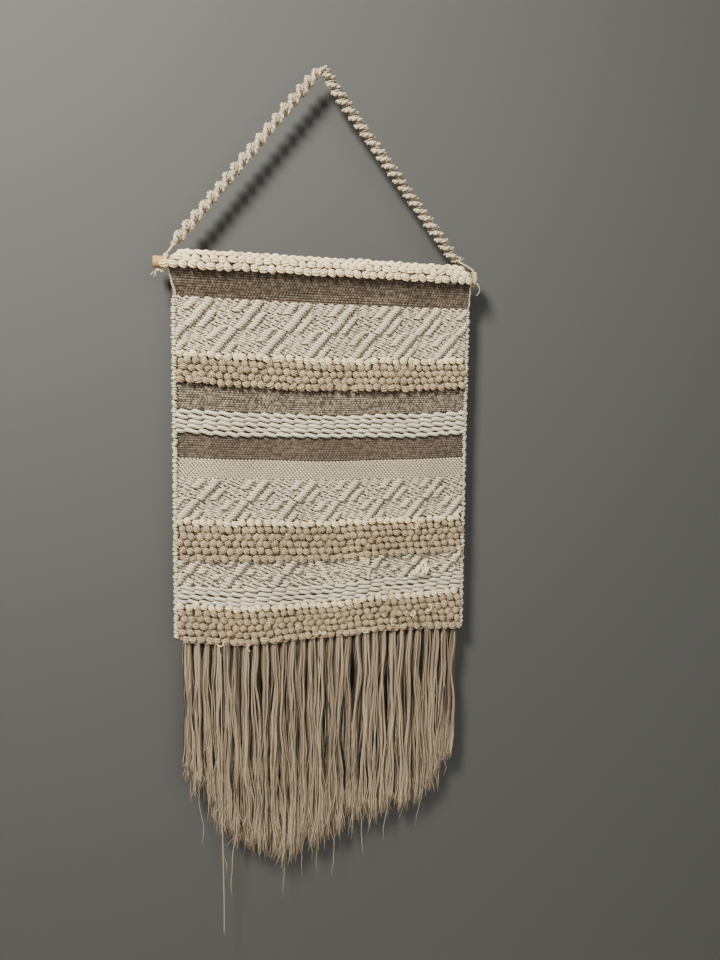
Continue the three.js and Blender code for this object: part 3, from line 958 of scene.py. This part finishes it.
def makeLoopBand(number, rows):
    node = f"loop_band_{number}"
    low, high = boxOf(node)
    top = high[2] + loops["raise"]
    pitch = (top - low[2]) / rows
    columns = int((high[0] - low[0] + 6) / loops["pitch"])
    step = (high[0] - low[0] + 6) / columns
    for row in range(rows):
        yarn = newYarn()
        last = row == rows - 1
        x = low[0] - 3 + (np.arange(columns) + 0.25 + (0.36 * row) % 1 * 0.8) * step
        centres = np.stack([
            x + dice.uniform(-1.5, 1.5, columns), high[1] - 2.2 + dice.uniform(-0.9, 0.9, columns),
            top - (row + 0.5) * pitch + dice.uniform(-1.2, 1.2, columns)], 1)
        outward = np.tile(-alongY, (columns, 1))
        downward = np.tile(-alongZ, (columns, 1))
        addLoops(yarn, centres, outward, downward, 1.04 if row == 0 or last else 0.98,
                 loops["droop"] * (1.7 if last else 1.0), loops["depth"] + (0.7 if last else 0),
                 loops["topLean"] if row == 0 or last else loops["lean"])
        material = creamLoopYarn if row == 0 else beigeLoopYarn
        piece = yarnPiece(yarn, f"loops_{number}_{row + 1}", material, hang)
        settle(piece, "cloth", "beige_loops", *((node,) if row == 0 else ()))
    yarn = newYarn()
    z = np.arange(high[2] - 2, low[2] + 1, -2.4)
    x = np.linspace(low[0] - 2, high[0] + 2, 90)
    y = high[1] - 1.6 + 0.3 * np.sin(x * 0.8)
    paths = np.stack(np.broadcast_arrays(x[None, :], y[None, :], z[:, None]), -1)
    addYarn(yarn, paths, 1.4, 5, alongZ, np.full(len(z), 0.7))
    settle(yarnPiece(yarn, f"loop_ground_{number}", beigeLoopYarn, hang), "cloth", "beige_loops")


def makeTopLoops():
    low, high = clothLeft - 8.5, clothRight + 2.0
    columns = int((high - low) / (loops["pitch"] * 1.1))
    step = (high - low) / columns
    for row, degrees, inset in loops["topRows"]:
        yarn = newYarn()
        x = low + (np.arange(columns) + 0.5) * step + (0.25 if row % 2 else -0.25) * step
        x = x[(x > low + inset) & (x < high - inset)]
        count = len(x)
        turn = math.radians(degrees) + dice.uniform(-0.06, 0.06, count)
        outward = np.stack([np.zeros(count), -np.cos(turn), np.sin(turn)], 1)
        downward = np.stack([np.zeros(count), -np.sin(turn), -np.cos(turn)], 1)
        centres = outward * (wallY + 0.9) + rodZ * alongZ
        centres[:, 0] = x + dice.uniform(-1.1, 1.1, count)
        addLoops(yarn, centres, outward, downward, 1.12, 0.6, 6.0, loops["topLean"])
        piece = yarnPiece(yarn, f"top_loops_{row}", creamLoopYarn)
        settle(piece, "cloth", "beige_loops", *((f"top_loop_row_{row}",) if row < 4 else ()))


for bandNumber, rowCount in loops["bands"]:
    makeLoopBand(bandNumber, rowCount)
makeTopLoops()
print("loops pulled")

# selvedges: weft turned round the side edges

selvedge = {"turns": 146, "radius": 1.55, "reach": 5.0, "half": 3.4, "steps": 10}


def makeSelvedge(name, node, outwards):
    low, high = boxOf(node)
    edge = low[0] if outwards < 0 else high[0]
    z = np.linspace(high[2] - 1, low[2] + 7, selvedge["turns"])
    count = len(z)
    lump = 0.5 + 0.5 * np.sin(z * 0.68 + np.sin(z * 0.11) * 2)
    t = np.linspace(-1, 1, selvedge["steps"])[None, :]
    out = (1.7 - 1.3 * lump)[:, None] + vary(-0.5, 0.5, count)
    bow = np.cos(t * math.pi / 2) ** 0.7
    paths = np.empty((count, t.shape[1], 3))
    paths[..., 0] = edge - outwards * (out + selvedge["reach"] * (1 - bow))
    paths[..., 1] = bandBack - 1.2 - selvedge["half"] * np.sin(-t * math.pi / 2)
    paths[..., 2] = z[:, None] + 1.5 * t * vary(0.1, 1.2, count)
    paths[..., 2] += vary(-0.6, 0.6, count)
    yarn = newYarn()
    addYarn(yarn, paths, (selvedge["radius"] * (0.85 + 0.3 * lump))[:, None], 7, alongZ,
            dice.uniform(0, 0.8, count))
    settle(yarnPiece(yarn, name, offWhiteYarn, hang), "cloth", "white_roving", node)


makeSelvedge("selvedge_turns_left", "selvedge_left", -1)
makeSelvedge("selvedge_turns_right", "selvedge_right", 1)
print("selvedges turned")

# pulled threads that curl out of the loops and the relief, at (share across, drop below the rod)

curls = {
    "places": [(0.40, 478), (0.48, 486), (0.14, 496), (0.80, 474), (0.86, 468), (0.955, 388), (0.89, 340),
               (0.80, 344), (0.875, 292), (0.24, 500), (0.63, 492), (0.73, 484), (0.70, 432), (0.30, 470)],
    "tufts": [(0.835, 402), (0.85, 410), (0.82, 408)], "hairs": 7, "reach": 10.0, "radius": 0.75,
}


def makeCurls():
    yarn = newYarn()
    t = np.linspace(0, 1, 22)
    for share, drop in curls["places"]:
        size = curls["reach"] * dice.uniform(0.7, 1.3)
        turn = dice.uniform(0, fullTurn) + t * dice.uniform(2.5, 5.0)
        path = np.stack([
            clothLeft + clothWidth * share + size * 0.5 * np.cos(turn) * (0.4 + 0.6 * t) + size * 0.3 * t,
            bandBack - 13.4 - 2.2 * np.sin(math.pi * t),
            rodZ - drop + size * 0.6 * np.sin(turn) * (0.4 + 0.6 * t)], 1)
        addYarn(yarn, path[None], curls["radius"], 6, alongY, [dice.uniform(0, 0.3)])
    for share, drop in curls["tufts"]:
        for _ in range(curls["hairs"]):
            reach = curls["reach"] * dice.uniform(0.7, 1.2)
            lean = dice.uniform(-0.9, 0.9)
            path = np.stack([
                clothLeft + clothWidth * share + reach * (lean * t + 0.3 * np.sin(t * 4)),
                bandBack - 8 - 5.0 * np.sin(t * 2.4),
                rodZ - drop - reach * (0.9 * t - 0.9 * np.sin(t * 3.0) * (1 - t))], 1)
            addYarn(yarn, path[None], 0.9, 6, alongY, [dice.uniform(0, 0.3)])
    settle(yarnPiece(yarn, "pulled_threads", creamLoopYarn, hang), "cloth", "beige_loops")


makeCurls()
print("threads pulled")

# fringe: bundles of warp ends, knotted at the foot of the cloth

fringe = {
    "clumps": 6, "strands": 64, "strandRadius": 0.54, "steps": 22, "sides": 5, "front": 5.2, "back": 7.6,
    "depth": 4.1, "knot": 7.0, "sway": 2.2, "strays": 3, "rearShare": 0.24, "blendDrop": 26,
    "longEnds": {
        2: 1.30, 5: 1.18, 6: 1.22, 11: 1.17, 13: 1.11, 15: 1.14, 17: 1.2, 20: 1.17, 23: 1.14, 26: 1.12},
}


def makeTassel(number):
    node = f"tassel_{number:02d}"
    low, high = boxOf(node)
    centreX, centreY = (low[0] + high[0]) / 2, (low[1] + high[1]) / 2
    footDrop = hang(np.array([[centreX, centreY, clothFoot]]))[0, 2] - clothFoot
    top, foot = clothFoot + 6 + footDrop, low[2] + 0.5 * footDrop
    strays, clumps = fringe["strays"], fringe["clumps"]
    count = fringe["strands"] + strays
    t = np.linspace(0, 1, fringe["steps"]) ** 1.1
    clump = dice.integers(0, clumps, count)
    clumpX = (np.arange(clumps) + 0.5 + dice.uniform(-0.3, 0.3, clumps)) / clumps * 2 - 1
    clumpY = dice.uniform(-0.9, 0.5, clumps)
    homeX = clumpX[clump] + dice.normal(0, 0.13, count)
    homeY = np.clip(clumpY[clump] + dice.normal(0, 0.28, count) + 1.1 * (1 - arch(homeX, 1)), -1.1, 1)
    behind = dice.uniform(0, 1, count) < fringe["rearShare"]
    homeX = np.where(behind, dice.uniform(-1, 1, count), homeX)
    homeY = np.where(behind, dice.uniform(0.6, 1, count), homeY)
    across = np.where(behind, fringe["back"], fringe["front"])
    ends = dice.normal(0.985, 0.018, count) - 0.09 * dice.uniform(0, 1, clumps)[clump] ** 1.5
    ends = np.clip(ends, 0.72, 1.02)
    ends[:5] *= dice.uniform(0.45, 0.85, 5)
    ends[-strays:] = dice.uniform(0.96, 1.06, strays)
    if number in fringe["longEnds"]:
        ends[-1] = fringe["longEnds"][number]
    depth = t[None, :] * ((top - foot) * ends)[:, None]
    knot, fall = fringe["knot"], top - foot
    tight = 0.76 + 0.24 * smoothStep(knot, knot + 26, depth)
    phase = dice.uniform(0, fullTurn, 2)
    sway = fringe["sway"] * (np.sin(depth * 0.019 + phase[0]) + 0.45 * np.sin(depth * 0.047 + phase[1]))
    loose = smoothStep(20, 0.95 * fall, depth)
    begun = smoothStep(knot, knot + 70, depth)
    turns = dice.uniform(0, fullTurn, (clumps, 2))[clump]
    swing = 1.5 * np.sin(depth * 0.034 + turns[:, :1]) + 0.7 * np.sin(depth * 0.085 + turns[:, 1:])
    wave = sum(dice.normal(0, 0.8 / (k + 1), count)[:, None]
               * np.sin(depth * (0.025 + 0.05 * k) + vary(0, fullTurn, count)) for k in range(3))
    curl = smoothStep(0.84, 1.0, t)[None, :] * dice.normal(0, 1.0, count)[:, None]
    curl = curl * (1.8 + 2.2 * np.sin(34 * t[None, :] + vary(0, fullTurn, count)))
    lean = (homeX * across / fringe["back"])[:, None] * 2.0 * loose ** 3
    swing = swing * np.where(behind, 0.6, 1.0)[:, None]
    x = centreX + (homeX * across)[:, None] * tight + (sway + swing) * begun
    inward = -3.5 * (number > 28) + 1.5 * (number < 3)
    x = x + wave * (0.35 + 1.3 * loose ** 2) + lean + curl + (dice.normal(0, 2.4) + inward) * loose ** 2
    x[-strays:] += dice.normal(0, 6.0, (strays, 1)) * loose[-strays:] * np.sin(depth[-strays:] * 0.02)
    y = centreY + (homeY * fringe["depth"])[:, None] * tight + dice.normal(0, 0.5, count)[:, None] * loose
    y[-strays:] -= 1.6 * begun[-strays:]
    y = np.clip(y, centreY - 7.5, wallY - 1.2)
    # strands deeper in the bundle, those of the rear curtain and those at the bundle's sides are tinted
    # darker: painted shade; the rearmost are lightened again, each strand lightens towards its end, and
    # random tones per strand and per clump come on top
    tone = 1.1 * dice.beta(0.8, 1.4, count) - 0.15 + 0.1 * math.sin(number * 2.4) + 0.3 * np.clip(homeY, 0, 1)
    rear = behind * smoothStep(0.74, 0.88, homeY)
    tone = tone + 0.12 * dice.normal(0, 1, clumps)[clump] + 0.6 * behind
    tone = tone - rear * (0.5 + 0.45 * tone)
    tone[-strays:] = 0.0
    edge = np.clip(np.abs(homeX) - 0.5, 0, 0.5) * (~behind)
    patches = 0.14 * np.sin(depth * 0.06 + vary(0, fullTurn, count))
    tint = np.clip((tone + 0.9 * edge)[:, None] + patches - 0.5 * smoothStep(0.72, 1.0, t)[None, :], 0, 1.1)
    radius = fringe["strandRadius"] * dice.uniform(0.75, 1.25, count)
    radius[-strays:] *= 0.75
    yarn = newYarn()
    addYarn(yarn, np.stack([x, y, top - depth], -1), radius[:, None], fringe["sides"], alongY, tint)
    turn = np.linspace(0, 2 * math.pi * 1.5, 24)
    wrap = np.stack([centreX + 4.6 * np.cos(turn), centreY + 3.6 * np.sin(turn),
                     top - knot - 0.5 + 1.5 * (turn / turn[-1] - 0.5)], 1)
    addYarn(yarn, wrap[None], 1.0, 6, alongZ, [0.25])
    piece = yarnPiece(yarn, f"fringe_bundle_{number:02d}", fringeYarn)
    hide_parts(node)
    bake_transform(piece)


def makeLooseStrand():
    low, high = boxOf("loose_strand")
    centreY = (low[1] + high[1]) / 2
    middle = (low[0] + high[0]) / 2
    t = np.linspace(0, 1, 60)
    path = np.stack([middle + 2.2 * t + 0.9 * np.sin(t * 9) * t, centreY + 0.4 * np.sin(t * 11),
                     high[2] + (low[2] - high[2]) * t], 1)
    yarn = newYarn()
    addYarn(yarn, path[None], 0.75, 6, alongY, [0.05])
    settle(yarnPiece(yarn, "loose_warp_end", fringeYarn), "fringe", "fringe_cotton", "loose_strand")


for tasselNumber in range(1, 31):
    makeTassel(tasselNumber)
makeLooseStrand()
print("fringe knotted")

# stage and light

stage = {
    "floor": -1.55, "floorHalf": 6, "floorColor": (0.62, 0.61, 0.58), "wallGap": 0.030, "wallHalf": 3,
    "wallTop": 2.2, "wallColor": (0.062, 0.063, 0.060),
}


def stageMaterial(name, color, seeThroughBack):
    material, tree, shader, make = startMaterial(name, 0.9, 0.0, 0.12)
    shader.inputs["Base Color"].default_value = (*color, 1)
    if seeThroughBack:
        clear = make("ShaderNodeBsdfTransparent")
        facing = make("ShaderNodeNewGeometry").outputs["Backfacing"]
        shadow = make("ShaderNodeLightPath").outputs["Is Shadow Ray"]
        through = compute(make, "MAXIMUM", facing, shadow)
        mix = make("ShaderNodeMixShader", {0: through, 1: shader.outputs[0], 2: clear.outputs[0]})
        tree.links.new(mix.outputs[0], tree.nodes["Material Output"].inputs["Surface"])
    return material


def plane(name, corners, material):
    mesh = bpy.data.meshes.new(name)
    mesh.from_pydata(corners, [], [(0, 1, 2, 3)])
    mesh.materials.append(material)
    thing = bpy.data.objects.new(name, mesh)
    bpy.context.collection.objects.link(thing)


def makeStage():
    z, y, top = stage["floor"], stage["wallGap"], stage["wallTop"]
    wide, half = stage["floorHalf"], stage["wallHalf"]
    floor = [(-wide, -wide, z), (wide, -wide, z), (wide, wide, z), (-wide, wide, z)]
    wall = [(-half, y, z), (half, y, z), (half, y, top), (-half, y, top)]
    plane("floor", floor, stageMaterial("floorPaint", stage["floorColor"], False))
    plane("backdrop", wall, stageMaterial("backdropPaint", stage["wallColor"], True))


# each lamp: its name, place, size, power and color
lights = {
    "lamps": [
        ("key", (-0.78, -1.0, 0.57), 0.36, 88, (1.0, 0.97, 0.88)),
        ("fill", (1.2, -2.4, 0.2), 2.0, 36, (0.97, 0.98, 1.0)),
        ("backFill", (0.9, 2.2, 0.5), 1.4, 80, (1.0, 0.98, 0.95)),
    ],
    "aim": (0, 0, -0.55), "air": 0.26, "airColor": (0.8, 0.82, 0.85, 1),
}


def makeLights():
    for name, place, size, power, color in lights["lamps"]:
        light = bpy.data.lights.new(name, "AREA")
        light.size = size
        light.energy = power
        light.color = color
        lamp = bpy.data.objects.new(name, light)
        lamp.location = place
        lamp.rotation_euler = (Vector(lights["aim"]) - Vector(place)).to_track_quat("-Z", "Y").to_euler()
        bpy.context.collection.objects.link(lamp)
    world = bpy.data.worlds.new("studio")
    world.use_nodes = True
    air = world.node_tree.nodes["Background"].inputs
    air["Color"].default_value = lights["airColor"]
    air["Strength"].default_value = lights["air"]
    bpy.context.scene.world = world


makeStage()
makeLights()
print("stage lit")
